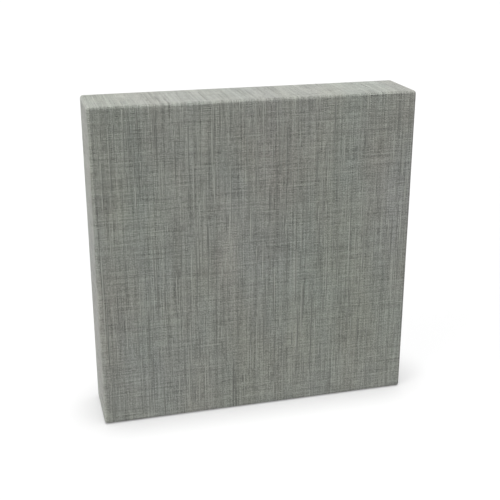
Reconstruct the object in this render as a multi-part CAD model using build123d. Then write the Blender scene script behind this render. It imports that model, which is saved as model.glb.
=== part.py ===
from build123d import *
import math
import os

# Fabric acoustic wall panel: a square block of sound-absorbing wool in a taut woven cover.
#
# The cover is one sheet of cloth. It lies flat on the front, turns over four rounded edges, runs
# back along the four sides and returns onto the rear as a hem. Two flaps of the hem meet in a
# mitre at each corner, and the four flaps leave a window in which the rear of the wool shows.
#
# The panel stands on its lower side. +Z is up, the front faces -Y and the rear, which goes
# against a wall, faces +Y. The origin is in the middle of the lower side. Sizes are millimetres.

# The finished panel, measured over the cloth.
PANEL_WIDTH = 498.0
PANEL_HEIGHT = 503.0
PANEL_DEPTH = 100.0

# The cloth, and the radius to which it rounds every edge of the block, measured outside.
CLOTH_THICKNESS = 1.0
EDGE_RADIUS = 5.0

# How far the cloth returns over the rear, and the slit between two flaps where they meet.
HEM_WIDTH = 45.0
MITRE_GAP = 1.2

# The wool fills the cover, so it stops one thickness of cloth inside the finished size.
CORE_WIDTH = PANEL_WIDTH - 2 * CLOTH_THICKNESS
CORE_HEIGHT = PANEL_HEIGHT - 2 * CLOTH_THICKNESS
CORE_DEPTH = PANEL_DEPTH - 2 * CLOTH_THICKNESS
CORE_EDGE_RADIUS = EDGE_RADIUS - CLOTH_THICKNESS

# The window that the hem leaves open in the rear.
WINDOW_WIDTH = PANEL_WIDTH - 2 * HEM_WIDTH
WINDOW_HEIGHT = PANEL_HEIGHT - 2 * HEM_WIDTH

# The middle of the panel, and the middle of the cloth's thickness on the rear.
PANEL_MIDDLE = Location((0, 0, PANEL_HEIGHT / 2))
REAR_CLOTH = PANEL_MIDDLE * Location((0, PANEL_DEPTH / 2 - CLOTH_THICKNESS / 2, 0))

# A cutter through the cloth reaches as far again on each side of it.
CUTTER_DEPTH = 3 * CLOTH_THICKNESS


def rounded_block(width, depth, height, radius):
    """A block in the middle of the panel with every edge rounded to the same radius."""
    block = Box(width, depth, height)
    return PANEL_MIDDLE * fillet(block.edges(), radius)


def acoustic_core():
    """The block of wool, with its rounded edges just inside those of the cloth."""
    return rounded_block(CORE_WIDTH, CORE_DEPTH, CORE_HEIGHT, CORE_EDGE_RADIUS)


def hem_window():
    """The cutter for the window in the rear."""
    return REAR_CLOTH * Box(WINDOW_WIDTH, CUTTER_DEPTH, WINDOW_HEIGHT)


def mitre_slit(side, end):
    """The cutter for one mitre, from a corner of the window out to the fold of the corner.

    side is -1 on the left and 1 on the right, and end is -1 at the foot and 1 at the head.
    """
    # Both are measured along X, and along Z, from the corner of the window: the slit starts inside
    # the window and stops one slit's width before the rounded edges begin.
    start = -MITRE_GAP
    stop = HEM_WIDTH - EDGE_RADIUS - MITRE_GAP
    slit_length = math.hypot(stop - start, stop - start)
    middle_x = side * (WINDOW_WIDTH + start + stop) / 2
    middle_z = end * (WINDOW_HEIGHT + start + stop) / 2
    # Two flaps of one width meet at 45 degrees.
    slit = Rot(0, -45 * side * end, 0) * Box(slit_length, CUTTER_DEPTH, MITRE_GAP)
    return REAR_CLOTH * Location((middle_x, 0, middle_z)) * slit


def fabric_cover():
    """The cloth as one thin shell: the front, the four sides and the mitred hem on the rear."""
    outside = rounded_block(PANEL_WIDTH, PANEL_DEPTH, PANEL_HEIGHT, EDGE_RADIUS)
    cover = outside - acoustic_core() - hem_window()
    for side in (-1, 1):
        for end in (-1, 1):
            cover -= mitre_slit(side, end)
    return cover


PIECES = {
    "acoustic_core": acoustic_core,
    "fabric_cover": fabric_cover,
}

os.makedirs("parts", exist_ok=True)
for name, make_piece in PIECES.items():
    piece = make_piece()
    export_step(piece, os.path.join("parts", name + ".step"))
    print(name, "volume", round(piece.volume / 1000), "cubic cm")
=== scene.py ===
"""Dresses the fabric acoustic wall panel: a woven cover, wrapped and hemmed over a board of wool."""

import enum
import logging
import math
from collections.abc import Callable, Mapping
from dataclasses import dataclass, field, replace
from typing import ClassVar, Union

import bmesh
import bpy
import numpy as np
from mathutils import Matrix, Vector, noise


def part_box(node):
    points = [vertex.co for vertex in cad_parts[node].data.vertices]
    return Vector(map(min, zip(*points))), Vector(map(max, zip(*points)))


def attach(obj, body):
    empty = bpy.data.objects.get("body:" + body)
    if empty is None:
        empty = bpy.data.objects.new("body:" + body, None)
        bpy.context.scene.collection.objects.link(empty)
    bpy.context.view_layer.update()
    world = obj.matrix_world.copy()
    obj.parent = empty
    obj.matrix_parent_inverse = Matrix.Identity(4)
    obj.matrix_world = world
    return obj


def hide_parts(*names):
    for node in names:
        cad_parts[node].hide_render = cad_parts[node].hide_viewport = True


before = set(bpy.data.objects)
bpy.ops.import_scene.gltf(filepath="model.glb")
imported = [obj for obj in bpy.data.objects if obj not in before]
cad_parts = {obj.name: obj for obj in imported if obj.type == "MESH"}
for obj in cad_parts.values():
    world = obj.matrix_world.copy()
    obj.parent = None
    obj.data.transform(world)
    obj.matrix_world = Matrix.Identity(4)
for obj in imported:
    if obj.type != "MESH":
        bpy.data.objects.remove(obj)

LOG = logging.getLogger("panel")

Colour = tuple[float, float, float]
Operand = Union["Value", float]
Operator = Callable[["Value", Operand], "Value"]
Settings = Mapping[str, object]
Inputs = Mapping[Union[str, int], object]

MM = 0.001
WHITE = (1.0, 1.0, 1.0)

# To the right seen from the front, out of the rear towards the wall, and up.
RIGHT = Vector((1.0, 0.0, 0.0))
BACK = Vector((0.0, 1.0, 0.0))
UP = Vector((0.0, 0.0, 1.0))

# The one body of a panel in which nothing moves.
BODY = "root"

# Points nearer than this are one point, and nothing lies further off than this.
SAME_PLACE = 0.005 * MM
FAR = 40.0

# The stored number by which each yarn is lighter or darker.
TONE = "tone"

# How yarn takes light: matt, with the pale bloom that its fibres give it at a glancing angle.
YARN_LIGHT = {
    "Roughness": 0.92,
    "Specular IOR Level": 0.25,
    "Sheen Weight": 0.32,
    "Sheen Roughness": 0.55,
    "Sheen Tint": (1.0, 0.99, 0.97),
}

# How the face of the wool takes light: matt, with no bloom.
WOOL_LIGHT = {"Roughness": 0.95, "Specular IOR Level": 0.15}


def operators(operation: str) -> tuple[Operator, Operator]:
    """Makes the two methods behind an operator, each of which adds one Math node.

    Args:
        operation: the node's operation.

    Returns:
        The method for a Value on the operator's left, and its reflected form for one on its right.
    """

    def forward(self: "Value", other: Operand) -> "Value":
        """The operation on self and other."""
        return self.graph.math(operation, self, other)

    def reflected(self: "Value", other: Operand) -> "Value":
        """The operation on other and self."""
        return self.graph.math(operation, other, self)

    return forward, reflected


class Value:
    """A socket on which sums are written as Python expressions."""

    __add__, __radd__ = operators("ADD")
    __sub__, __rsub__ = operators("SUBTRACT")
    __mul__, __rmul__ = operators("MULTIPLY")
    __truediv__, __rtruediv__ = operators("DIVIDE")
    __pow__, __rpow__ = operators("POWER")

    # What is left over after whole multiples, which is never below 0.
    __mod__, __rmod__ = operators("FLOORED_MODULO")

    # 1 where the left side is above the right one, else 0.
    __gt__, __lt__ = operators("GREATER_THAN")

    def __init__(self, graph: "Graph", socket: bpy.types.NodeSocket) -> None:
        """Keeps the socket and the tree that it belongs to."""
        self.graph = graph
        self.socket = socket

    def __neg__(self) -> "Value":
        """self with the other sign."""
        return self * -1.0

    def __abs__(self) -> "Value":
        """self without its sign."""
        return self.graph.math("ABSOLUTE", self)


class Block:
    """A node that was just made, whose outputs are read by name or number."""

    def __init__(self, graph: "Graph", node: bpy.types.Node) -> None:
        """Keeps the node and the tree that it belongs to."""
        self.graph = graph
        self.node = node

    def __getitem__(self, output: Union[str, int]) -> Value:
        """The node's output of that name or number."""
        return Value(self.graph, self.node.outputs[output])


@dataclass(frozen=True)
class Cloud:
    """The settings of a soft noise.

    scale is how many of its features fit in the place's own unit, detail is how many times finer ones
    are laid over them, and roughness is how strong each of those is beside the one before.
    """

    scale: float
    detail: float
    roughness: float = 0.5


class Graph:
    """A node tree, with one way to add a node to it."""

    def __init__(self, tree: bpy.types.NodeTree) -> None:
        """Empties the tree, which is then filled by the methods below."""
        self.tree = tree
        tree.nodes.clear()

    def node(self, kind: str, settings: Settings | None = None, inputs: Inputs | None = None) -> Block:
        """Adds a node.

        Args:
            kind: the node's type.
            settings: its own values, which are set first. "stops" fills a colour ramp.
            inputs: a value or a link for each of its sockets, by name or number.

        Returns:
            The node, ready to have its outputs read.
        """
        made = self.tree.nodes.new(kind)
        for name, value in (settings or {}).items():
            if name == "stops":
                self._set_stops(made.color_ramp, value)
            else:
                setattr(made, name, value)
        for key, value in (inputs or {}).items():
            self._feed(made.inputs[key], value)
        return Block(self, made)

    def _feed(self, socket: bpy.types.NodeSocket, value: object) -> None:
        """Fills a socket.

        Args:
            socket: an input of one of the tree's nodes.
            value: a Value, which is linked to it, or else the plain value that it takes.
        """
        if isinstance(value, Value):
            self.tree.links.new(value.socket, socket)
        elif socket.type == "RGBA":
            socket.default_value = (*value, 1.0)
        else:
            socket.default_value = value

    @staticmethod
    def _set_stops(ramp: bpy.types.ColorRamp, stops: list[tuple[float, Colour]]) -> None:
        """Fills a colour ramp.

        Args:
            ramp: the ramp of a node that was just made, which has two stops.
            stops: a place from 0 to 1 and a colour for each stop, in order.
        """
        while len(ramp.elements) < len(stops):
            ramp.elements.new(1.0)
        for element, (place, colour) in zip(ramp.elements, stops):
            element.position = place
            element.color = (*colour, 1.0)

    def math(self, operation: str, *operands: Operand) -> Value:
        """Adds a Math node and returns its result."""
        return self.node("ShaderNodeMath", {"operation": operation}, dict(enumerate(operands)))[0]

    def vector_math(self, operation: str, *operands: object) -> Value:
        """Adds a Vector Math node and returns its vector."""
        return self.node("ShaderNodeVectorMath", {"operation": operation}, dict(enumerate(operands)))[0]

    def scaled(self, vector: object, factor: Operand) -> Value:
        """A vector times a number."""
        return self.node("ShaderNodeVectorMath", {"operation": "SCALE"}, {0: vector, "Scale": factor})[0]

    def vector(self, x: Operand, y: Operand, z: Operand = 0.0) -> Value:
        """Joins three numbers to a vector."""
        return self.node("ShaderNodeCombineXYZ", {}, {"X": x, "Y": y, "Z": z})[0]

    def parts(self, vector: Value) -> Block:
        """A vector's X, Y and Z, which are read by name."""
        return self.node("ShaderNodeSeparateXYZ", {}, {0: vector})

    def clamped(self, value: Value, half: Value) -> Value:
        """A number that goes no further than half to either side of 0."""
        return self.math("MAXIMUM", self.math("MINIMUM", value, half), -half)

    def smooth(self, value: Value, low: float, high: float) -> Value:
        """0 below low, 1 above high and a smooth step between."""
        inputs = {"Value": value, "From Min": low, "From Max": high, "To Min": 0.0, "To Max": 1.0}
        return self.node("ShaderNodeMapRange", {"interpolation_type": "SMOOTHSTEP"}, inputs)[0]

    def mix(self, factor: Operand, first: object, second: object, blend: str = "MIX") -> Value:
        """Mixes two colours.

        Args:
            factor: 0 for the first colour, 1 for the second.
            first: a colour or a link.
            second: a colour or a link.
            blend: the way to mix, as Blender names it.

        Returns:
            The mixed colour.
        """
        # A Mix node takes its colours at inputs 6 and 7 and gives one at output 2.
        settings = {"data_type": "RGBA", "blend_type": blend}
        return self.node("ShaderNodeMix", settings, {0: factor, 6: first, 7: second})[2]

    def lit(self, colour: object, light: Value) -> Value:
        """A colour made lighter where light is above 1 and darker where it is below."""
        return self.mix(1.0, colour, self.vector(light, light, light), "MULTIPLY")

    def noise(self, place: Value, cloud: Cloud) -> Block:
        """Noise from 0 to 1, as a number or as a colour."""
        grain = {"Scale": cloud.scale, "Detail": cloud.detail, "Roughness": cloud.roughness}
        return self.node("ShaderNodeTexNoise", {"noise_dimensions": "3D"}, {"Vector": place, **grain})

    def cloud(self, place: Value, cloud: Cloud) -> Value:
        """Soft noise from about -1 to 1."""
        return self.noise(place, cloud)[0] * 2.0 - 1.0

    def speckle(self, **key: Value) -> Value:
        """A number from -1 to 1 that differs with each key: W for a number, or Vector for a pair."""
        dimensions = "1D" if "W" in key else "2D"
        return self.node("ShaderNodeTexWhiteNoise", {"noise_dimensions": dimensions}, key)[0] * 2.0 - 1.0


class SurfaceGraph(Graph):
    """The node tree of a material, with its output."""

    def __init__(self, name: str) -> None:
        """Makes an empty material.

        Args:
            name: the material's name.
        """
        self.material = bpy.data.materials.new(name)
        self.material.use_nodes = True
        super().__init__(self.material.node_tree)

    @property
    def place(self) -> Value:
        """The place on the piece, in metres."""
        return self.node("ShaderNodeTexCoord")["Object"]

    def finish(self, shader: Value) -> bpy.types.Material:
        """Links the shader to the output and returns the material."""
        self.node("ShaderNodeOutputMaterial", {}, {"Surface": shader})
        return self.material

    def relief(self, colour: Value, height: Value, depth: float, strength: float, light: Settings) -> Value:
        """A plain surface with a relief too fine to be modelled.

        Args:
            colour: its colour.
            height: how high it stands, in units of depth.
            depth: the relief's depth in metres.
            strength: how strongly the relief turns the light.
            light: how the surface takes light, the same all over.

        Returns:
            The shader.
        """
        bump = self.node("ShaderNodeBump", {}, {"Strength": strength, "Distance": depth, "Height": height})
        inputs = {"Base Color": colour, "Normal": bump[0], **light}
        return self.node("ShaderNodeBsdfPrincipled", {}, inputs)[0]


class ShapeGraph(Graph):
    """A Geometry Nodes tree with named inputs, and the way to run it on an object or a line.

    Among its inputs are always Count, how many things it lays, Seed, what their random numbers are
    drawn from, and Material, their finish.
    """

    # The type of socket that takes each type of value.
    KINDS: ClassVar[Mapping[type, str]] = {
        int: "NodeSocketInt",
        float: "NodeSocketFloat",
        tuple: "NodeSocketVector",
        bpy.types.Material: "NodeSocketMaterial",
    }

    def __init__(self, name: str, sizes: Settings) -> None:
        """Makes a tree with a mesh or curve going in and a mesh coming out.

        Args:
            name: the tree's name.
            sizes: its named inputs, each with a value of the type that it takes.
        """
        super().__init__(bpy.data.node_groups.new(name, "GeometryNodeTree"))
        add_socket = self.tree.interface.new_socket
        add_socket("Geometry", in_out="INPUT", socket_type="NodeSocketGeometry")
        add_socket("Geometry", in_out="OUTPUT", socket_type="NodeSocketGeometry")
        self.identifiers = {
            size: add_socket(size, in_out="INPUT", socket_type=self.KINDS[type(value)]).identifier
            for size, value in sizes.items()
        }
        self.inputs = self.node("NodeGroupInput")

    def store(self, geometry: Value, name: str, value: Value, kind: str = "FLOAT") -> Value:
        """Writes a value for each point under a name.

        Args:
            geometry: the points or the mesh.
            name: the name under which later nodes or the material read it.
            value: the value.
            kind: its type, as Blender names it.

        Returns:
            The geometry with the values.
        """
        settings = {"data_type": kind, "domain": "POINT"}
        inputs = {"Geometry": geometry, "Name": name, "Value": value}
        return self.node("GeometryNodeStoreNamedAttribute", settings, inputs)[0]

    def read(self, name: str, kind: str = "FLOAT") -> Value:
        """Reads what store wrote."""
        return self.node("GeometryNodeInputNamedAttribute", {"data_type": kind}, {"Name": name})[0]

    def strewn(self, ranges: Mapping[str, tuple[Operand, Operand]]) -> Value:
        """Makes the points, each with random numbers of its own that are the same at each run.

        Args:
            ranges: each number's name, with the least and the most that it may be.

        Returns:
            The points, all in one place, with their numbers stored.
        """
        points = self.node("GeometryNodePoints", {}, {"Count": self.inputs["Count"]})[0]
        # A Random Value node takes a number's limits at inputs 2 and 3 and gives it at output 1.
        for draw, (name, (low, high)) in enumerate(ranges.items(), start=1):
            inputs = {2: low, 3: high, "Seed": self.inputs["Seed"] + float(draw)}
            number = self.node("FunctionNodeRandomValue", {"data_type": "FLOAT"}, inputs)[1]
            points = self.store(points, name, number)
        return points

    def length(self, curve: Value) -> Value:
        """How long a curve is."""
        return self.node("GeometryNodeCurveLength", {}, {"Curve": curve})[0]

    def sample(self, curve: Value, length: Value) -> Block:
        """The Position and Tangent of a curve, a length from its start."""
        inputs = {"Curves": curve, "Length": length}
        return self.node("GeometryNodeSampleCurve", {"mode": "LENGTH"}, inputs)

    def rods(self, points: Value, sides: int, rings: int) -> tuple[Value, Block]:
        """Puts a rod on each point, all in one place, for the tree to bend and to lay.

        Args:
            points: the points, whose numbers each rod takes over.
            sides: how many faces run round a rod.
            rings: how many faces lie along it.

        Returns:
            The rods as one mesh, and each vertex's own place on its rod: X and Y across it, from
            -1 to 1, and Z along it, from -0.5 to 0.5.
        """
        sizes = {"Vertices": sides, "Side Segments": rings, "Radius": 1.0, "Depth": 1.0}
        rod = self.node("GeometryNodeMeshCylinder", {"fill_type": "NGON"}, sizes)["Mesh"]
        rod = self.store(rod, "rod", self.node("GeometryNodeInputPosition")[0], "FLOAT_VECTOR")
        laid = self.node("GeometryNodeInstanceOnPoints", {}, {"Points": points, "Instance": rod})[0]
        laid = self.node("GeometryNodeRealizeInstances", {}, {"Geometry": laid})[0]
        return laid, self.parts(self.read("rod", "FLOAT_VECTOR"))

    def moved(self, geometry: Value, start: Value, *steps: tuple[object, Operand]) -> Value:
        """Moves each point of a shape to a new place, but to none below the floor.

        Args:
            geometry: the shape.
            start: where each point's way starts.
            steps: directions, as vectors or links, each with the distance to go along it.

        Returns:
            The moved shape.
        """
        place = start
        for direction, distance in steps:
            place = self.vector_math("ADD", place, self.scaled(direction, distance))
        place = self.vector_math("MAXIMUM", place, (-FAR, -FAR, 0.0))
        return self.node("GeometryNodeSetPosition", {}, {"Geometry": geometry, "Position": place})[0]

    def close(self, geometry: Value) -> None:
        """Ends the tree: instances become real meshes, smooth and with their material.

        Args:
            geometry: what the tree has made.
        """
        real = self.node("GeometryNodeRealizeInstances", {}, {"Geometry": geometry})[0]
        inputs = {"Geometry": real, "Material": self.inputs["Material"]}
        dressed = self.node("GeometryNodeSetMaterial", {}, inputs)[0]
        smooth = self.node("GeometryNodeSetShadeSmooth", {}, {"Geometry": dressed})[0]
        self.node("NodeGroupOutput", {}, {"Geometry": smooth})

    def run(self, carrier: bpy.types.Object, values: Settings) -> bpy.types.Mesh:
        """Runs the tree on an object.

        Args:
            carrier: the object whose mesh or curve goes in.
            values: a value for each named input.

        Returns:
            The result as a plain mesh. Of the stored numbers it keeps each yarn's tone, for the material.
        """
        modifier = carrier.modifiers.new("shape", "NODES")
        modifier.node_group = self.tree
        for name, value in values.items():
            modifier[self.identifiers[name]] = value
        carrier.update_tag()
        bpy.context.view_layer.update()
        evaluated = carrier.evaluated_get(bpy.context.evaluated_depsgraph_get())
        mesh = bpy.data.meshes.new_from_object(evaluated)
        carrier.modifiers.remove(modifier)
        for name in [attribute.name for attribute in mesh.attributes]:
            attribute = mesh.attributes[name]
            if not attribute.is_internal and not attribute.is_required and name != TONE:
                mesh.attributes.remove(attribute)
        return mesh

    def run_along(self, points: list[Vector], values: Settings) -> bpy.types.Mesh:
        """Runs the tree on a line.

        Args:
            points: the ends of the line's straight runs.
            values: a value for each named input.

        Returns:
            The result as a plain mesh.
        """
        curve = bpy.data.curves.new("line", "CURVE")
        curve.dimensions = "3D"
        spline = curve.splines.new("POLY")
        spline.points.add(len(points) - 1)
        for point, place in zip(spline.points, points):
            point.co = (*place, 1.0)
        line = add_object("line", curve)
        mesh = self.run(line, values)
        bpy.data.objects.remove(line)
        return mesh


@dataclass(frozen=True)
class PanelSize:
    """The panel's sizes in metres, read from the frame."""

    width: float
    depth: float
    height: float
    edge_radius: float
    cloth: float
    hem: float

    @classmethod
    def from_frame(cls) -> "PanelSize":
        """Measures the CAD nodes.

        Returns:
            The sizes over the cloth, the edge radius, the cloth's thickness and the hem's width.
        """
        low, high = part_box("fabric_cover")
        core_low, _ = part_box("acoustic_core")
        middle = (low + high) / 2
        points = np.array([v.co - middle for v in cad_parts["fabric_cover"].data.vertices])
        half = np.array((high - low) / 2)
        front = points[points[:, 1] < SAME_PLACE - half[1]]
        rear = points[points[:, 1] > half[1] - SAME_PLACE]
        # The corner of the hem's window is the point of the rear that lies furthest in from both sides.
        inward = np.minimum(half[0] - abs(rear[:, 0]), half[2] - abs(rear[:, 2]))
        return cls(
            width=high.x - low.x,
            depth=high.y - low.y,
            height=high.z - low.z,
            edge_radius=float(half[0] - front[:, 0].max()),
            cloth=float(core_low.y - low.y),
            hem=float(inward.max()),
        )

    def shrunk(self, inset: float) -> "PanelSize":
        """The block that lies an inset inside this one, with its edges rounded about the same lines."""
        less = {name: getattr(self, name) - 2 * inset for name in ("width", "depth", "height")}
        return replace(self, **less, edge_radius=self.edge_radius - inset)

    @property
    def middle(self) -> Vector:
        """The middle of the block."""
        return Vector((0.0, 0.0, self.height / 2))

    @property
    def half(self) -> Vector:
        """Half the block's width, depth and height."""
        return Vector((self.width, self.depth, self.height)) / 2

    @property
    def window(self) -> Vector:
        """Half the width and height of the window that the hem leaves open."""
        return Vector((self.width / 2 - self.hem, 0.0, self.height / 2 - self.hem))


class Edge(enum.Enum):
    """The four outer edges of the front, each with the way out of the centre and the way along it.

    Both are (x, z) pairs, and they are also the cloth's own directions, along the weft and warp.
    """

    TOP = ((0, 1), (1, 0))
    BOTTOM = ((0, -1), (1, 0))
    LEFT = ((-1, 0), (0, 1))
    RIGHT = ((1, 0), (0, 1))

    @property
    def out(self) -> Vector:
        """The way out of the centre, in the plane of the front."""
        return Vector((self.value[0][0], 0.0, self.value[0][1]))

    @property
    def along(self) -> Vector:
        """The way along the edge."""
        return Vector((self.value[1][0], 0.0, self.value[1][1]))


class Slot(enum.Enum):
    """The material slots that the pieces are listed under."""

    CLOTH = "cover_cloth"
    WOOL = "core_wool"


class Wrap:
    """How a flat cut of cloth lies on a block with rounded edges.

    A place is first given on the sharp-edged block. surface moves it on to the rounded one, and run
    gives its distance from the middle of its side, measured along the cloth.
    """

    def __init__(self, size: PanelSize) -> None:
        """Keeps the block's half sizes.

        Args:
            size: the block.
        """
        self.radius = size.edge_radius
        self.half = size.half
        self.inner = self.half - Vector((self.radius,) * 3)

    def surface(self, place: Vector) -> tuple[Vector, Vector]:
        """Finds a place of the sharp block on the rounded one.

        Args:
            place: the place, measured from the middle of the block.

        Returns:
            The point of the rounded block, and the way out there.
        """
        inside = Vector(max(-i, min(i, p)) for p, i in zip(place, self.inner))
        out = (place - inside).normalized()
        return inside + out * self.radius, out

    def run(self, place: float, half: float) -> float:
        """Measures along the cloth.

        Args:
            place: a distance from the middle of a side of the sharp block.
            half: half that side's length.

        Returns:
            The same distance along the cloth, which is shorter where it cuts the corner.
        """
        inner = half - self.radius
        if abs(place) <= inner:
            return place
        turned = self.radius * math.atan((abs(place) - inner) / self.radius)
        return math.copysign(inner + turned, place)

    def full_run(self, half: float) -> float:
        """The run from the middle of a side to the middle of the rounded edge at its end."""
        return self.run(half, half)

    def lines(self, half: float, step: float, turns: int) -> list[float]:
        """Where the mesh has its lines across a side.

        Args:
            half: half the side's length.
            step: about how far apart the lines are on the flat.
            turns: how many faces each half of a rounded edge has.

        Returns:
            Places from -half to half. On a rounded edge they turn by equal angles.
        """
        inner = half - self.radius
        arc = [inner + self.radius * math.tan(math.pi / 4 * k / turns) for k in range(1, turns + 1)]
        count = max(2, round(2 * inner / step))
        flat = [inner * (2 * k / count - 1) for k in range(count + 1)]
        return [-c for c in reversed(arc)] + flat + arc


class Finish:
    """How the surface of a piece looks."""

    def material(self) -> bpy.types.Material:
        """Builds the finish's material."""
        raise NotImplementedError


@dataclass(frozen=True)
class YarnSet:
    """How the yarns that run one way through the cloth differ in tone.

    Tones are shares of the cloth's own colour, so 0.2 is a fifth lighter. Lengths are in metres.
    """

    # Noise that is read this far apart is quite different, so no two yarns are alike.
    APART: ClassVar[float] = 7.31

    # The streaks of a yarn, read in units of their own length.
    STREAKS: ClassVar[Cloud] = Cloud(1.0, 3.0, 0.7)

    pitch: float
    own_tone: float
    streak_tone: float
    streak_length: float
    salt: float

    def tone(self, graph: Graph, number: Value, along: Value) -> Value:
        """The tone of each yarn along its length.

        Args:
            graph: the material's tree.
            number: which yarn it is, a whole number.
            along: the place along the yarn, in metres.

        Returns:
            A tone about 0.
        """
        own = graph.speckle(W=number + self.salt)
        place = graph.vector(number * self.APART + self.salt, along / self.streak_length, self.salt)
        return own * self.own_tone + graph.cloud(place, self.STREAKS) * self.streak_tone


@dataclass(frozen=True)
class Tint:
    """A slow drift of the cloth's colour between two slightly different dyes."""

    # The cloth has one dye alone where the drift is past this, on either side of 0.
    PURE: ClassVar[float] = 0.5

    first: Colour
    second: Colour
    drift: Cloud
    offset: tuple[float, float, float]

    def over(self, graph: Graph, place: Value, colour: object) -> Value:
        """Lays the drift over a colour.

        Args:
            graph: the material's tree.
            place: the place on the flat cut.
            colour: the colour or a link.

        Returns:
            The tinted colour.
        """
        drift = graph.cloud(graph.vector_math("ADD", place, self.offset), self.drift)
        dye = graph.mix(graph.smooth(drift, -self.PURE, self.PURE), self.first, self.second)
        return graph.mix(1.0, colour, dye, "MULTIPLY")


@dataclass(frozen=True)
class ClothFinish(Finish):
    """The plain-woven cloth: grey-green melange yarns, uneven in thickness and tone."""

    # The share of a yarn's height that the weave has on average, about which the weave's painted shade and
    # painted highlight balance.
    MEAN_CROWN: ClassVar[float] = 0.52

    colour: Colour = (0.276, 0.286, 0.257)
    warp: YarnSet = YarnSet(1.25 * MM, 0.04, 1.7, 150 * MM, 0.5)
    weft: YarnSet = YarnSet(1.35 * MM, 0.04, 1.28, 90 * MM, 91.5)
    sway: float = 0.5
    sways: Cloud = Cloud(30.0, 1.0)
    crossing_tone: float = 0.25
    painted_gap_shade: float = 0.5
    fibre_tone: float = 0.15
    fibres: Cloud = Cloud(1 / (0.35 * MM), 2.0)
    blotch_tone: float = 0.23
    blotches: Cloud = Cloud(24.0, 4.0, 0.6)
    green_drift: Tint = Tint((0.969, 1.0, 0.969), (1.031, 1.0, 1.031), Cloud(7.0, 3.0), (3.1, 7.7, 0.0))
    warm_drift: Tint = Tint((0.979, 1.0, 1.021), (1.021, 1.0, 0.979), Cloud(15.0, 3.0), (11.4, 2.9, 0.0))
    drawn_out: float = 2.5
    tone_height: float = 0.35
    fibre_height: float = 0.1
    relief: float = 0.21 * MM
    relief_strength: float = 0.5
    cut_name: str = "flat_cut"

    def material(self) -> bpy.types.Material:
        """Builds the cloth's material, which reads the flat cut in metres.

        Returns:
            The material.
        """
        graph = SurfaceGraph("cover_cloth")
        cut = graph.node("ShaderNodeUVMap", {"uv_map": self.cut_name})[0]
        split = graph.parts(cut)
        across, along = split["X"], split["Y"]

        # Yarns never run quite straight.
        sway = graph.cloud(cut, self.sways) * self.sway
        warp_place = across / self.warp.pitch + sway
        weft_place = along / self.weft.pitch + sway
        warp_number = graph.math("FLOOR", warp_place)
        weft_number = graph.math("FLOOR", weft_place)

        # In a plain weave warp and weft take turns on top, like the fields of a chessboard.
        warp_on_top = (warp_number + weft_number) % 2.0
        weft_on_top = 1.0 - warp_on_top
        warp_tone = self.warp.tone(graph, warp_number, along)
        weft_tone = self.weft.tone(graph, weft_number, across)
        crossing = graph.speckle(Vector=graph.vector(warp_number, weft_number))
        tone = warp_tone * warp_on_top + weft_tone * weft_on_top + crossing * self.crossing_tone

        # A yarn on top is a ridge along its own way, and dips at both ends of its float.
        warp_ridge = graph.math("COSINE", (warp_place - warp_number - 0.5) * math.pi)
        weft_ridge = graph.math("COSINE", (weft_place - weft_number - 0.5) * math.pi)
        ridge = warp_ridge * warp_on_top + weft_ridge * weft_on_top
        crown = (ridge + warp_ridge * weft_ridge) * 0.5
        fibre = graph.cloud(cut, self.fibres)

        # Blotches and changes of dye are drawn out along the warp.
        drawn = graph.vector(across, along / self.drawn_out)
        blotch = graph.cloud(drawn, self.blotches)
        light = 1.0 + tone + blotch * self.blotch_tone + fibre * self.fibre_tone
        # Painted shade darkens the dips between the yarns, and painted highlight lightens their crowns.
        light = light + (crown - self.MEAN_CROWN) * self.painted_gap_shade
        dyed = self.green_drift.over(graph, drawn, self.colour)
        dyed = self.warm_drift.over(graph, drawn, dyed)

        # A light yarn is a little thicker, and single fibres hardly stand out.
        height = crown + tone * self.tone_height + fibre * self.fibre_height
        shader = graph.relief(graph.lit(dyed, light), height, self.relief, self.relief_strength, YARN_LIGHT)
        return graph.finish(shader)


@dataclass(frozen=True)
class YarnFinish(Finish):
    """Loose or raised yarn: one colour, lighter or darker by the yarn's own tone."""

    name: str
    colour: Colour
    spread: float
    fibres: Cloud = Cloud(1 / (1.2 * MM), 3.0)
    fibre_tone: float = 0.12
    relief: float = 0.1 * MM
    relief_strength: float = 0.5

    def material(self) -> bpy.types.Material:
        """Builds the material, which reads each yarn's tone from the mesh.

        Returns:
            The material.
        """
        graph = SurfaceGraph(self.name)
        tone = graph.node("ShaderNodeAttribute", {"attribute_name": TONE})["Fac"] * self.spread
        fibre = graph.cloud(graph.place, self.fibres)
        colour = graph.lit(self.colour, 1.0 + tone + fibre * self.fibre_tone)
        return graph.finish(graph.relief(colour, fibre, self.relief, self.relief_strength, YARN_LIGHT))


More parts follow.
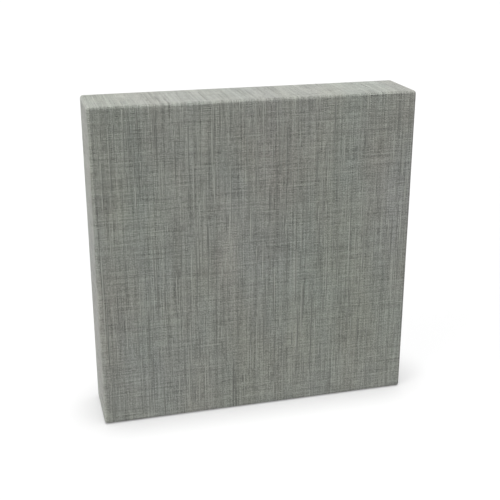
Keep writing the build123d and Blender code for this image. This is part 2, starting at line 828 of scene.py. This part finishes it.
@dataclass(frozen=True)
class WoolFinish(Finish):
    """The pressed face of the mineral wool board, matted of fibres that lie several ways."""

    deep_tone_and_shade: Colour = (0.12, 0.105, 0.07)
    body: Colour = (0.30, 0.27, 0.195)
    pale: Colour = (0.56, 0.51, 0.39)
    fibre_length: float = 11 * MM
    fibre_width: float = 0.55 * MM
    bend: float = 5 * MM
    bends: Cloud = Cloud(70.0, 2.0)
    lie: tuple[float, ...] = (4.0, 52.0, -23.0, 97.0)
    strands: Cloud = Cloud(1.0, 1.0)
    grain: Cloud = Cloud(1 / (2.75 * MM), 2.0)
    clump_tone: float = 0.6
    clumps: Cloud = Cloud(60.0, 5.0, 0.65)
    patch_tone: float = 0.2
    patches: Cloud = Cloud(11.0, 2.0)
    lowest: float = -0.35
    highest: float = 1.05
    relief: float = 0.6 * MM
    relief_strength: float = 0.9

    def material(self) -> bpy.types.Material:
        """Builds the material from noise that is drawn out along each lie of the fibres.

        Returns:
            The material.
        """
        graph = SurfaceGraph("core_wool")
        place = graph.place
        bend = graph.noise(place, self.bends)["Color"]
        bent = graph.vector_math("ADD", place, graph.scaled(bend, self.bend))
        fibre = (self.fibre_length, self.fibre_length, self.fibre_width)
        strands = graph.cloud(place, self.grain)
        for angle in self.lie:
            turn = (0.0, math.radians(angle), 0.0)
            inputs = {"Vector": bent, "Rotation": turn, "Scale": fibre}
            turned = graph.node("ShaderNodeMapping", {"vector_type": "TEXTURE"}, inputs)[0]
            strands = graph.math("MAXIMUM", strands, graph.cloud(turned, self.strands))
        clumps, patches = graph.cloud(place, self.clumps), graph.cloud(place, self.patches)
        mass = strands + clumps * self.clump_tone + patches * self.patch_tone
        height = graph.smooth(mass, self.lowest, self.highest)
        # The colour follows the wool's height: partly the fibres' own tone, partly painted shade that
        # darkens its hollows.
        stops = [(0.0, self.deep_tone_and_shade), (0.5, self.body), (1.0, self.pale)]
        colour = graph.node("ShaderNodeValToRGB", {"stops": stops}, {"Fac": height})["Color"]
        return graph.finish(graph.relief(colour, height, self.relief, self.relief_strength, WOOL_LIGHT))


def add_object(name: str, data: bpy.types.ID) -> bpy.types.Object:
    """Puts a mesh, curve, light or camera in the scene.

    Args:
        name: the object's name.
        data: what it shows, in the row's own frame.

    Returns:
        The new object, at the origin.
    """
    made = bpy.data.objects.new(name, data)
    bpy.context.scene.collection.objects.link(made)
    return made


def add_shape(name: str, shape: bmesh.types.BMesh, material: bpy.types.Material) -> bpy.types.Object:
    """Makes a shape an object with smooth faces of one finish.

    Args:
        name: the object's name.
        shape: the faces, which are used up.
        material: their finish.

    Returns:
        The new object.
    """
    for face in shape.faces:
        face.material_index = 0
        face.smooth = True
    mesh = bpy.data.meshes.new(name)
    shape.to_mesh(mesh)
    shape.free()
    mesh.materials.append(material)
    return add_object(name, mesh)


def add_joined(name: str, meshes: list[bpy.types.Mesh], material: bpy.types.Material) -> bpy.types.Object:
    """Joins the meshes that trees have made to one object.

    Args:
        name: the object's name.
        meshes: what it is joined from.
        material: its finish.

    Returns:
        The new object.
    """
    whole = bmesh.new()
    for part in meshes:
        whole.from_mesh(part)
    return add_shape(name, whole, material)


def add_closed(name: str, shape: bmesh.types.BMesh, material: bpy.types.Material) -> bpy.types.Object:
    """Closes the seams between a shape's grids, turns its faces outwards and makes it an object.

    Args:
        name: the object's name.
        shape: the grids of faces, which are used up.
        material: its finish.

    Returns:
        The new object.
    """
    bmesh.ops.remove_doubles(shape, verts=shape.verts, dist=SAME_PLACE)
    bmesh.ops.recalc_face_normals(shape, faces=shape.faces)
    return add_shape(name, shape, material)


def add_grid(shape: bmesh.types.BMesh, rows: list[list[Vector]]) -> list[tuple[bmesh.types.BMFace, tuple]]:
    """Adds a grid of faces to a shape.

    Args:
        shape: the shape.
        rows: rows of points, as long as each other.

    Returns:
        The faces, each with the row and column of its corners.
    """
    verts = [[shape.verts.new(place) for place in row] for row in rows]
    faces = []
    for i in range(len(rows) - 1):
        for j in range(len(rows[i]) - 1):
            corners = ((i, j), (i + 1, j), (i + 1, j + 1), (i, j + 1))
            faces.append((shape.faces.new([verts[a][b] for a, b in corners]), corners))
    return faces


def clipped(share: float) -> float:
    """The share, but 0 where it is below 0 and 1 where it is above 1."""
    return min(1.0, max(0.0, share))


def eased(share: float) -> float:
    """0 below 0, 1 above 1 and a smooth step between."""
    share = clipped(share)
    return share * share * (3.0 - 2.0 * share)


@dataclass
class Part:
    """A piece of the panel: its sizes, its finish, and its object once it is built."""

    slot: ClassVar[Slot]

    size: PanelSize
    finish: Finish
    piece: bpy.types.Object = field(init=False)

    def build(self) -> None:
        """Makes the piece."""
        raise NotImplementedError

    def dress(self) -> None:
        """Makes the piece move with the panel."""
        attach(self.piece, BODY)

    def report(self) -> None:
        """Logs the piece and how many faces it has."""
        evaluated = self.piece.evaluated_get(bpy.context.evaluated_depsgraph_get())
        LOG.info("%s: %d faces", self.piece.name, len(evaluated.data.polygons))


@dataclass
class WoolBoard(Part):
    """The board of pressed mineral wool inside the cover, with its rear face uneven."""

    slot: ClassVar[Slot] = Slot.WOOL

    clearance: float = 0.05 * MM
    step: float = 3.2 * MM
    turns: int = 2
    unevenness: float = 1.3 * MM
    tuft: float = 7 * MM
    layers: int = 3
    finer: float = 2.2
    fade: float = 0.7
    even_rim: float = 8 * MM

    def build(self) -> None:
        """Builds the board a hair smaller than the inside of the cover."""
        inside = self.size.shrunk(self.size.cloth + self.clearance)
        wrap = Wrap(inside)
        shape = bmesh.new()
        for first, second, out in ((RIGHT, UP, BACK), (BACK, UP, RIGHT), (RIGHT, BACK, UP)):
            columns = wrap.lines(inside.half.dot(first), self.step, self.turns)
            rows = wrap.lines(inside.half.dot(second), self.step, self.turns)
            for reach in (out * inside.half.dot(out), out * -inside.half.dot(out)):
                places = [[reach + first * a + second * b for a in columns] for b in rows]
                add_grid(shape, [[self._settled(wrap, place) for place in row] for row in places])
        self.piece = add_closed("wool_board", shape, self.finish.material())

    def _settled(self, wrap: Wrap, place: Vector) -> Vector:
        """Finds the point of the wool for a place on the sharp block.

        Args:
            wrap: the rounded block.
            place: the place, measured from the middle of the block.

        Returns:
            The point. Only in the hem's window is it pressed in, by up to the unevenness.
        """
        point, out = wrap.surface(place)
        window = self.size.window
        inward = min(window.x - abs(point.x), window.z - abs(point.z))
        if point.y >= wrap.half.y - SAME_PLACE and inward > 0:
            # Each layer of noise is finer than the last and fades beside it.
            tufts = noise.fractal(point / self.tuft, self.fade, self.finer, self.layers)
            share = clipped(0.5 + 0.5 * tufts) * clipped(inward / self.even_rim)
            point = point - out * self.unevenness * share
        return point + self.size.middle

    def dress(self) -> None:
        """Makes the board, a soft block that fills its cover, move with the panel in place of the CAD core,
        which it hides.
        """
        super().dress()
        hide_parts("acoustic_core")


@dataclass
class Cover(Part):
    """The cloth cover: front, four sides and a hem whose flaps meet in a mitre at each corner."""

    slot: ClassVar[Slot] = Slot.CLOTH

    clearance: float = 0.05 * MM
    step: float = 7 * MM
    hem_step: float = 4.2 * MM
    turns: int = 6
    ripple: float = 0.3 * MM
    ripple_length: float = 70 * MM
    tuck: float = 0.35 * MM
    tuck_start: float = 15 * MM
    mitre_gap: float = 1.2 * MM
    hem_wave: float = 0.7 * MM
    hem_wave_length: float = 18 * MM
    hem_wave_power: int = 3
    under_fold: float = 34 * MM
    under_slope: float = 7 * MM
    under_thickness: float = 0.55 * MM

    wrap: Wrap = field(init=False)
    shape: bmesh.types.BMesh = field(init=False)
    cut: bmesh.types.BMLayerItem = field(init=False)

    def build(self) -> None:
        """Builds the cover as one closed cloth of its real thickness."""
        self.wrap = Wrap(self.size)
        self.shape = bmesh.new()
        self.cut = self.shape.loops.layers.uv.new(self.finish.cut_name)
        self._front()
        for edge in Edge:
            self._side(edge)
            self._flap(edge)
        self.piece = add_closed("cover_cloth", self.shape, self.finish.material())
        thick = self.piece.modifiers.new("thickness", "SOLIDIFY")
        thick.thickness = self.size.cloth - self.clearance
        thick.offset = -1.0
        thick.use_even_offset = True

    def dress(self) -> None:
        """Makes the cover move with the panel in place of the CAD cover, which it hides."""
        super().dress()
        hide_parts("fabric_cover")

    def declare_sheet(self, board: Part, yarns: list[Part]) -> None:
        """Measures the flat cut of the cover, a sheet of cloth, and leaves the result unused.

        Args:
            board: the wool board that the cloth is stretched over; not used.
            yarns: the separate pieces that belong to the cloth; not used.
        """
        self.flat_cut()

    def flat_cut(self) -> tuple[float, float]:
        """Measures the rectangle of cloth that the cover is folded from.

        Returns:
            Its width and length.
        """
        half = self.size.half
        side = 2 * self.wrap.full_run(half.y)
        turn_in = self.size.hem - self.size.edge_radius + self.wrap.full_run(half.y) - self.wrap.inner.y
        return tuple(2 * (self.wrap.full_run(reach) + side + turn_in) for reach in (half.x, half.z))

    def _add(self, places: list[list[Vector]], cuts: list[list[tuple[float, float]]]) -> None:
        """Adds a stretch of the cover.

        Args:
            places: rows of points of the sharp block, measured from its middle.
            cuts: where each of them lies on the flat cut.
        """
        for face, corners in add_grid(self.shape, [[self._settled(p) for p in row] for row in places]):
            for loop, (i, j) in zip(face.loops, corners):
                loop[self.cut].uv = cuts[i][j]

    def _settled(self, place: Vector) -> Vector:
        """Finds the point of the cloth for a place on the sharp block.

        The cloth lies a little inside the block where it ripples and where it is tucked into the fold
        that runs from front to rear along each corner. A place behind the block stays behind it.

        Args:
            place: the place, measured from the middle of the block.

        Returns:
            The point.
        """
        point, out = self.wrap.surface(place)
        half, inner = self.wrap.half, self.wrap.inner
        depth = self.ripple * (0.5 + 0.5 * noise.noise(point / self.ripple_length))
        depth -= max(0.0, place.y - half.y)
        on_corner = abs(place.x) > inner.x and abs(place.z) > inner.z
        off_fold = abs(abs(place.x) - half.x) + abs(abs(place.z) - half.z)
        if on_corner and off_fold < SAME_PLACE:
            from_front = (place.y + inner.y) / self.tuck_start
            depth += self.tuck * clipped(from_front)
        return point - out * depth + self.size.middle

    @staticmethod
    def _cut_place(edge: Edge, along: float, out: float) -> tuple[float, float]:
        """A place on the flat cut, from its distances along and out of an edge's own direction."""
        place = edge.along * along + edge.out * out
        return place.x, place.z

    def _half_sizes(self, edge: Edge) -> tuple[float, float]:
        """Half the panel's size out to an edge and half the edge's length."""
        return abs(self.wrap.half.dot(edge.out)), abs(self.wrap.half.dot(edge.along))

    def _front(self) -> None:
        """Adds the front, to the middle of its rounded edges."""
        half, run = self.wrap.half, self.wrap.run
        columns = self.wrap.lines(half.x, self.step, self.turns)
        rows = self.wrap.lines(half.z, self.step, self.turns)
        places = [[Vector((x, -half.y, z)) for x in columns] for z in rows]
        self._add(places, [[(run(x, half.x), run(z, half.z)) for x in columns] for z in rows])

    def _side(self, edge: Edge) -> None:
        """Adds the side that runs back from an edge of the front.

        Args:
            edge: the edge.
        """
        half_out, half_along = self._half_sizes(edge)
        half_depth, run = self.wrap.half.y, self.wrap.run
        columns = self.wrap.lines(half_along, self.step, self.turns)
        rows = self.wrap.lines(half_depth, self.step, self.turns)
        start = self.wrap.full_run(half_out) + self.wrap.full_run(half_depth)
        places, cuts = [], []
        for y in rows:
            out = start + run(y, half_depth)
            places.append([edge.along * a + edge.out * half_out + BACK * y for a in columns])
            cuts.append([self._cut_place(edge, run(a, half_along), out) for a in columns])
        self._add(places, cuts)

    def _flap(self, edge: Edge) -> None:
        """Adds the flap of the hem that lies behind an edge, up to its mitres and its raw edge.

        Args:
            edge: the edge.
        """
        half_out, half_along = self._half_sizes(edge)
        run, hem, radius = self.wrap.run, self.size.hem, self.size.edge_radius
        columns = self.wrap.lines(half_along, self.step, self.turns)
        turn = self.wrap.lines(half_out, self.step, self.turns)[-self.turns :]
        count = max(2, round((hem - radius) / self.hem_step))
        rows = [half_out - line for line in reversed(turn)]
        rows += [radius + (hem - radius) * k / count for k in range(count + 1)]
        start = 2 * (self.wrap.full_run(half_out) + self.wrap.full_run(self.wrap.half.y))
        places, cuts = [], []
        for inward in rows:
            out = start - run(half_out - inward, half_out)
            # The flap ends on the diagonal, and past the rounded edge its share of the slit before it.
            slit = self._off_edge(inward) * self.mitre_gap / math.sqrt(2)
            share = (half_along - inward - slit) / half_along
            row = [column * share for column in columns]
            places.append([self._hem_place(edge, along, inward) for along in row])
            cuts.append([self._cut_place(edge, run(along, half_along), out) for along in row])
        self._add(places, cuts)

    def _hem_place(self, edge: Edge, along: float, inward: float) -> Vector:
        """Finds a place of the hem.

        Args:
            edge: the edge that the flap is folded over.
            along: the distance along the edge, from its middle.
            inward: the distance from the side of the panel.

        Returns:
            The place behind the sharp block, where the flap waves a little at its raw edge and lies
            higher on the cloth that is folded under it.
        """
        half_out, half_along = self._half_sizes(edge)
        hem, radius = self.size.hem, self.size.edge_radius
        flat = edge.along * along + edge.out * (half_out - inward)
        wave = self.hem_wave * max(0.0, (inward - radius) / (hem - radius)) ** self.hem_wave_power
        lift = wave * noise.noise(flat / self.hem_wave_length)
        raised = self._off_edge(inward) * self._raised_by_fold(half_along - abs(along), inward)
        return flat + edge.out * lift + BACK * (self.wrap.half.y + raised)

    def _off_edge(self, inward: float) -> float:
        """0 on the rounded edge, rising to 1 over as far again on to the flat of the hem."""
        radius = self.size.edge_radius
        return clipped((inward - radius) / radius)

    def _raised_by_fold(self, from_end: float, from_side: float) -> float:
        """How far the hem is raised by the surplus cloth that is folded flat under its corner.

        Args:
            from_end: the distance from the end of the flap.
            from_side: the distance from the side of the panel.

        Returns:
            The height, which falls off where the folded layer ends, square to the mitre.
        """
        from_corner = (from_end + from_side) / math.sqrt(2)
        return self.under_thickness * eased((self.under_fold - from_corner) / self.under_slope)


@dataclass(frozen=True)
class SlubSet:
    """The slubs that run one way: how many there are, and how long and thick they may be."""

    count: int
    seed: int
    shortest: float
    longest: float
    thin: float
    thick: float


@dataclass
class SlubYarns(Part):
    """Thick stretches of yarn that stand out of the weave, laid along the warp and the weft."""

    slot: ClassVar[Slot] = Slot.CLOTH

    warp: SlubSet = SlubSet(900, 11, 14 * MM, 110 * MM, 0.7 * MM, 1.5 * MM)
    weft: SlubSet = SlubSet(260, 47, 8 * MM, 50 * MM, 0.7 * MM, 1.2 * MM)
    sides: int = 6
    rings: int = 9
    turns: int = 8
    blunt: float = 0.02
    rise: float = 0.42 * MM
    sink: float = 0.12 * MM
    off_edge: float = 1 * MM
    off_end: float = 2 * MM

    def build(self) -> None:
        """Lays the slubs both ways and joins them to one piece."""
        material = self.finish.material()
        warp, weft = self._sizes(self.warp, RIGHT, material), self._sizes(self.weft, UP, material)
        graph = self._tree(warp)
        meshes = [graph.run_along(self._path(UP), warp), graph.run_along(self._path(-RIGHT), weft)]
        self.piece = add_joined("slub_yarns", meshes, material)

    def _sizes(self, slubs: SlubSet, across: Vector, material: bpy.types.Material) -> Settings:
        """Works out what the tree needs for the slubs that run one way.

        Args:
            slubs: their number and sizes.
            across: the way across them.
            material: their finish.

        Returns:
            A value for each of the tree's inputs.
        """
        half = self.size.half.dot(across)
        return {
            "Radius": self.size.edge_radius, "Across": tuple(across),
            "Spread": half - self.size.edge_radius - self.off_edge,
            "Corner": half - self.size.hem - self.off_end, "Keep": self.size.hem, "Margin": self.off_end,
            "Count": slubs.count, "Seed": slubs.seed, "Shortest": slubs.shortest, "Longest": slubs.longest,
            "Thin": slubs.thin, "Thick": slubs.thick, "Rise": self.rise, "Sink": self.sink,
            "Material": material,
        }

    def _path(self, start: Vector) -> list[Vector]:
        """Draws the sharp-cornered line that the cloth follows from hem to hem.

        Args:
            start: the way from the middle of the panel to where the line starts.

        Returns:
            Its corners, from the rear, over the front, to the rear again.
        """
        depth = self.size.half.y
        reach = abs(self.size.half.dot(start))
        hem_edge = reach - self.size.hem
        outline = (
            (hem_edge, depth), (reach, depth), (reach, -depth),
            (-reach, -depth), (-reach, depth), (-hem_edge, depth),
        )
        return [self.size.middle + start * out + BACK * back for out, back in outline]

    def _tree(self, sizes: Settings) -> ShapeGraph:
        """Builds the tree that lays spindles of yarn along a path and spreads them to its sides.

        Args:
            sizes: its named inputs.

        Returns:
            The tree.
        """
        graph = ShapeGraph("slub_yarns", sizes)
        inputs = graph.inputs
        bend = {"Curve": inputs["Geometry"], "Radius": inputs["Radius"], "Count": self.turns}
        path = graph.node("GeometryNodeFilletCurve", {"mode": "POLY"}, bend)[0]
        total = graph.length(path)
        points = graph.strewn({
            "side": (-inputs["Spread"], inputs["Spread"]),
            "long": (0.0, 1.0),
            "place": (0.0, 1.0),
            "girth": (inputs["Thin"], inputs["Thick"]),
            TONE: (-1.0, 1.0),
        })
        laid, rod = graph.rods(points, self.sides, self.rings)

        # Most slubs are short. One near a corner stays off the hem, whose flap its mitre cuts away.
        length = inputs["Shortest"] + (inputs["Longest"] - inputs["Shortest"]) * graph.read("long") ** 2.0
        side = graph.read("side")
        margin = length / 2.0 + inputs["Margin"] + (abs(side) > inputs["Corner"]) * inputs["Keep"]
        reach = margin + (total - margin * 2.0) * graph.read("place") + rod["Z"] * length
        sample = graph.sample(path, reach)
        out = graph.vector_math("CROSS_PRODUCT", sample["Tangent"], inputs["Across"])

        taper = graph.math("SQRT", graph.math("MAXIMUM", 1.0 - (rod["Z"] * 2.0) ** 2.0, self.blunt))
        sideways = side + rod["X"] * graph.read("girth") * taper * 0.5
        upward = rod["Y"] * inputs["Rise"] * taper - inputs["Sink"]
        laid = graph.moved(laid, sample["Position"], (inputs["Across"], sideways), (out, upward))
        graph.close(laid)
        return graph


@dataclass
class FrayedEdge(Part):
    """The ends of the cut yarns, which stand out of the hem's raw edge and lie on the wool."""

    slot: ClassVar[Slot] = Slot.CLOTH

    spacing: float = 1.3 * MM
    seed: int = 5
    shortest: float = 2.2 * MM
    longest: float = 8.0 * MM
    girth: float = 0.8 * MM
    thinnest: float = 0.35
    taper: float = 0.4
    slant: float = 0.35
    curl: float = 0.525
    tuck: float = 1.6 * MM
    drop: float = 0.25 * MM
    sides: int = 4
    rings: int = 4

    def build(self) -> None:
        """Frays the raw edges of the four flaps and joins their ends to one piece."""
        material = self.finish.material()
        window = self.size.window
        middle_of_cloth = self.size.middle + BACK * (self.size.depth / 2 - self.size.cloth / 2)
        graph, meshes = None, []
        for number, edge in enumerate(Edge):
            raw_edge = middle_of_cloth + edge.out * abs(window.dot(edge.out))
            # Along, back and inward are right-handed, or the yarns would be inside out.
            along = edge.out.cross(BACK)
            half = abs(window.dot(along)) - self.tuck
            sizes = {
                "Count": round(2 * half / self.spacing), "Seed": self.seed + number,
                "Inward": tuple(-edge.out), "Shortest": self.shortest, "Longest": self.longest,
                "Girth": self.girth, "Slant": self.slant, "Curl": self.curl, "Tuck": self.tuck,
                "Drop": self.drop, "Material": material,
            }
            graph = graph or self._tree(sizes)
            meshes.append(graph.run_along([raw_edge - along * half, raw_edge + along * half], sizes))
        self.piece = add_joined("frayed_edge", meshes, material)

    def _tree(self, sizes: Settings) -> ShapeGraph:
        """Builds the tree that sets yarn ends along a straight edge, all pointing about one way.

        Args:
            sizes: its named inputs.

        Returns:
            The tree.
        """
        graph = ShapeGraph("frayed_edge", sizes)
        inputs = graph.inputs
        edge = inputs["Geometry"]
        points = graph.strewn({
            "start": (0.0, 1.0),
            "length": (inputs["Shortest"], inputs["Longest"]),
            "girth": (inputs["Girth"] * self.thinnest, inputs["Girth"]),
            "slant": (-inputs["Slant"], inputs["Slant"]),
            "curl": (-inputs["Curl"], inputs["Curl"]),
            TONE: (-1.0, 1.0),
        })
        laid, rod = graph.rods(points, self.sides, self.rings)
        share = rod["Z"] + 0.5
        half_girth = graph.read("girth") * 0.5 * (1.0 - share * self.taper)
        reach = graph.read("length") * share
        aside = (graph.read("slant") + graph.read("curl") * share) * reach + rod["X"] * half_girth
        height = rod["Y"] * half_girth - inputs["Drop"] * share
        sample = graph.sample(edge, graph.length(edge) * graph.read("start"))
        inward = (inputs["Inward"], reach - inputs["Tuck"])
        laid = graph.moved(laid, sample["Position"], inward, (sample["Tangent"], aside), (BACK, height))
        graph.close(laid)
        return graph


@dataclass
class LooseFibres(Part):
    """Coarse fibres that lie on the face of the wool board, in the hem's window."""

    slot: ClassVar[Slot] = Slot.WOOL

    board: WoolBoard
    count: int = 3600
    seed: int = 23
    shortest: float = 5 * MM
    longest: float = 24 * MM
    girth: float = 0.28 * MM
    thinnest: float = 0.4
    bend: float = 0.9
    loft: float = 0.5 * MM
    sides: int = 3
    rings: int = 6

    def build(self) -> None:
        """Scatters the fibres over the window and lets them lie on the board."""
        material = self.finish.material()
        window = self.size.window
        sizes = {
            "Count": self.count, "Seed": self.seed, "Shortest": self.shortest, "Longest": self.longest,
            "Girth": self.girth, "Bend": self.bend, "Loft": self.loft, "HalfWidth": window.x - self.girth,
            "HalfHeight": window.z - self.girth, "Middle": self.size.middle.z, "Above": self.size.depth,
            "Material": material,
        }
        mesh = self._tree(sizes).run(self.board.piece, sizes)
        self.piece = add_joined("loose_fibres", [mesh], material)

    def _tree(self, sizes: Settings) -> ShapeGraph:
        """Builds the tree that drops bent fibres on to the surface of the wool.

        Args:
            sizes: its named inputs.

        Returns:
            The tree.
        """
        graph = ShapeGraph("loose_fibres", sizes)
        inputs = graph.inputs
        half_width, half_height = inputs["HalfWidth"], inputs["HalfHeight"]
        points = graph.strewn({
            "x": (-half_width, half_width),
            "z": (-half_height, half_height),
            "heading": (0.0, math.pi),
            "bend": (-inputs["Bend"], inputs["Bend"]),
            "length": (inputs["Shortest"], inputs["Longest"]),
            "girth": (inputs["Girth"] * self.thinnest, inputs["Girth"]),
            TONE: (-1.0, 1.0),
        })
        laid, rod = graph.rods(points, self.sides, self.rings)
        cosine, sine = (graph.math(kind, graph.read("heading")) for kind in ("COSINE", "SINE"))
        half_girth = graph.read("girth") * 0.5
        reach = rod["Z"] * graph.read("length")
        aside = graph.read("bend") * rod["Z"] * reach + rod["X"] * half_girth
        x = graph.clamped(graph.read("x") + cosine * reach + sine * aside, half_width)
        z = graph.clamped(graph.read("z") + sine * reach - cosine * aside, half_height)
        ray = {
            "Target Geometry": inputs["Geometry"],
            "Source Position": graph.vector(x, inputs["Above"], z + inputs["Middle"]),
            "Ray Direction": tuple(-BACK),
            "Ray Length": FAR,
        }
        below = graph.node("GeometryNodeRaycast", {"data_type": "FLOAT"}, ray)

        # A fibre lies on the wool at its ends and bows up a little between them.
        bow = inputs["Loft"] * (1.0 - rod["Z"] * rod["Z"] * 4.0)
        height = bow + rod["Y"] * half_girth
        laid = graph.moved(laid, below["Hit Position"], (BACK, height))
        graph.close(laid)
        return graph


def towards(azimuth: float, elevation: float) -> Vector:
    """Finds a way out from the panel.

    Args:
        azimuth: degrees round from straight in front, to the right when positive.
        elevation: degrees up from level.

    Returns:
        The way, one metre long.
    """
    turn, rise = math.radians(azimuth), math.radians(elevation)
    return Vector((math.sin(turn) * math.cos(rise), -math.cos(turn) * math.cos(rise), math.sin(rise)))


@dataclass(frozen=True)
class DistantLight:
    """A large soft light far away, which lights the whole panel evenly.

    level is what it adds to a white surface that faces it, where 1 is white. Angles are in degrees.
    """

    name: str
    level: float
    azimuth: float
    elevation: float
    spread: float

    def hang(self) -> None:
        """Adds the light, shining from its azimuth and elevation on to the panel."""
        light = bpy.data.lights.new(self.name, "SUN")
        light.energy = math.pi * self.level
        light.angle = math.radians(self.spread)
        lamp = add_object(self.name, light)
        lamp.rotation_euler = towards(self.azimuth, self.elevation).to_track_quat("Z", "Y").to_euler()


@dataclass(frozen=True)
class Studio:
    """The plain floor, the soft lights and the camera."""

    size: PanelSize
    azimuth: float = -14.98
    elevation: float = 20.13
    distance: float = 1.4333
    aim: tuple[float, float, float] = (-0.0134, -0.05, 0.2704)
    lens: float = 67.3
    sensor: float = 36.0
    lights: tuple[DistantLight, ...] = (
        DistantLight("top_light", 1.11, 0.0, 90.0, 18.5),
        DistantLight("left_light", 0.725, -64.0, 7.0, 44.0),
        DistantLight("front_light", 0.085, 0.0, 8.0, 60.0),
    )
    dome: float = 0.2
    floor_colour: float = 0.535
    floor_glow: float = 0.285
    floor_bounce: float = 0.6
    floor_sides: int = 64
    contact: float = 4.5 * MM

    def build(self) -> None:
        """Puts up the whole studio."""
        self._world()
        self._floor()
        for light in self.lights:
            light.hang()
        self._camera()
        bpy.context.scene.view_settings.view_transform = "Standard"

    @staticmethod
    def _seen(graph: Graph) -> Value:
        """Tells the rays that show the background from those that carry its light.

        Args:
            graph: the tree of the floor or the world.

        Returns:
            1 for rays that come straight from the camera, or by way of gloss or glass, else 0.
        """
        path = graph.node("ShaderNodeLightPath")
        seen = graph.math("MAXIMUM", path["Is Camera Ray"], path["Is Glossy Ray"])
        return graph.math("MAXIMUM", seen, path["Is Transmission Ray"])

    def _painted_contact_shadow(self, graph: SurfaceGraph) -> Value:
        """Tells where on the floor the panel stands, for the painted contact shadow in the floor's glow.

        Args:
            graph: the floor's tree.

        Returns:
            0 under the panel, rising to 1 a little way off.
        """
        place, half = graph.parts(graph.place), self.size.half
        past_side = graph.math("MAXIMUM", abs(place["X"]) - half.x, 0.0)
        past_front = graph.math("MAXIMUM", abs(place["Y"]) - half.y, 0.0)
        distance = (past_side * past_side + past_front * past_front) ** 0.5
        return graph.smooth(distance, 0.0, self.contact)

    def _world(self) -> None:
        """Puts up a white surround, plain white where it is seen and dimmer as a light."""
        world = bpy.data.worlds.new("studio")
        world.use_nodes = True
        bpy.context.scene.world = world
        graph = Graph(world.node_tree)
        strength = self.dome + self._seen(graph) * (1.0 - self.dome)
        sky = graph.node("ShaderNodeBackground", {}, {"Color": WHITE, "Strength": strength})[0]
        graph.node("ShaderNodeOutputWorld", {}, {"Surface": sky})

    def _floor(self) -> None:
        """Lays a wide white floor that keeps the panel's shadow and throws an even glow back up as painted
        bounce light, dimmed by painted shadow just beside the panel.
        """
        graph = SurfaceGraph("floor_white")
        shaded = graph.node("ShaderNodeBsdfDiffuse", {}, {"Color": (self.floor_colour,) * 3})[0]
        glow = graph.node("ShaderNodeEmission", {}, {"Color": WHITE, "Strength": self.floor_glow})[0]
        shown = graph.node("ShaderNodeAddShader", {}, {0: shaded, 1: glow})[0]
        # For the rays that light the panel the floor glows as painted bounce light, with painted shadow
        # dimming it right beside the panel's foot.
        strength = self._painted_contact_shadow(graph) * self.floor_bounce
        bounce = graph.node("ShaderNodeEmission", {}, {"Color": WHITE, "Strength": strength})[0]
        both = graph.node("ShaderNodeMixShader", {}, {0: self._seen(graph), 1: bounce, 2: shown})[0]
        graph.material.cycles.emission_sampling = "NONE"

        shape = bmesh.new()
        bmesh.ops.create_circle(shape, cap_ends=True, segments=self.floor_sides, radius=FAR)
        add_shape("floor", shape, graph.finish(both))

    def _camera(self) -> None:
        """Puts the camera where the photograph was taken from."""
        data = bpy.data.cameras.new("camera")
        data.lens = self.lens
        data.sensor_width = self.sensor
        data.sensor_fit = "HORIZONTAL"
        camera = add_object("camera", data)
        back = towards(self.azimuth, self.elevation)
        camera.location = Vector(self.aim) + back * self.distance
        camera.rotation_euler = back.to_track_quat("Z", "Y").to_euler()
        bpy.context.scene.camera = camera


def main() -> None:
    """Builds the panel's pieces and the studio, and reports each."""
    logging.basicConfig(level=logging.INFO, format="%(name)s: %(message)s")
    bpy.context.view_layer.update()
    size = PanelSize.from_frame()
    LOG.info("%s", size)

    cloth = ClothFinish()
    board = WoolBoard(size, WoolFinish())
    cover = Cover(size, cloth)
    slubs = SlubYarns(size, YarnFinish("slub_yarn", cloth.colour, spread=0.45))
    frayed = FrayedEdge(size, YarnFinish("frayed_yarn", cloth.colour, spread=0.45))
    fibres = LooseFibres(size, YarnFinish("wool_fibre", (0.45, 0.41, 0.31), spread=0.35), board)
    parts = (board, cover, slubs, frayed, fibres)
    for part in parts:
        part.build()
    for part in parts:
        part.dress()
        part.report()
    cover.declare_sheet(board, [slubs, frayed])

    Studio(size).build()


if __name__ == "__main__":
    main()
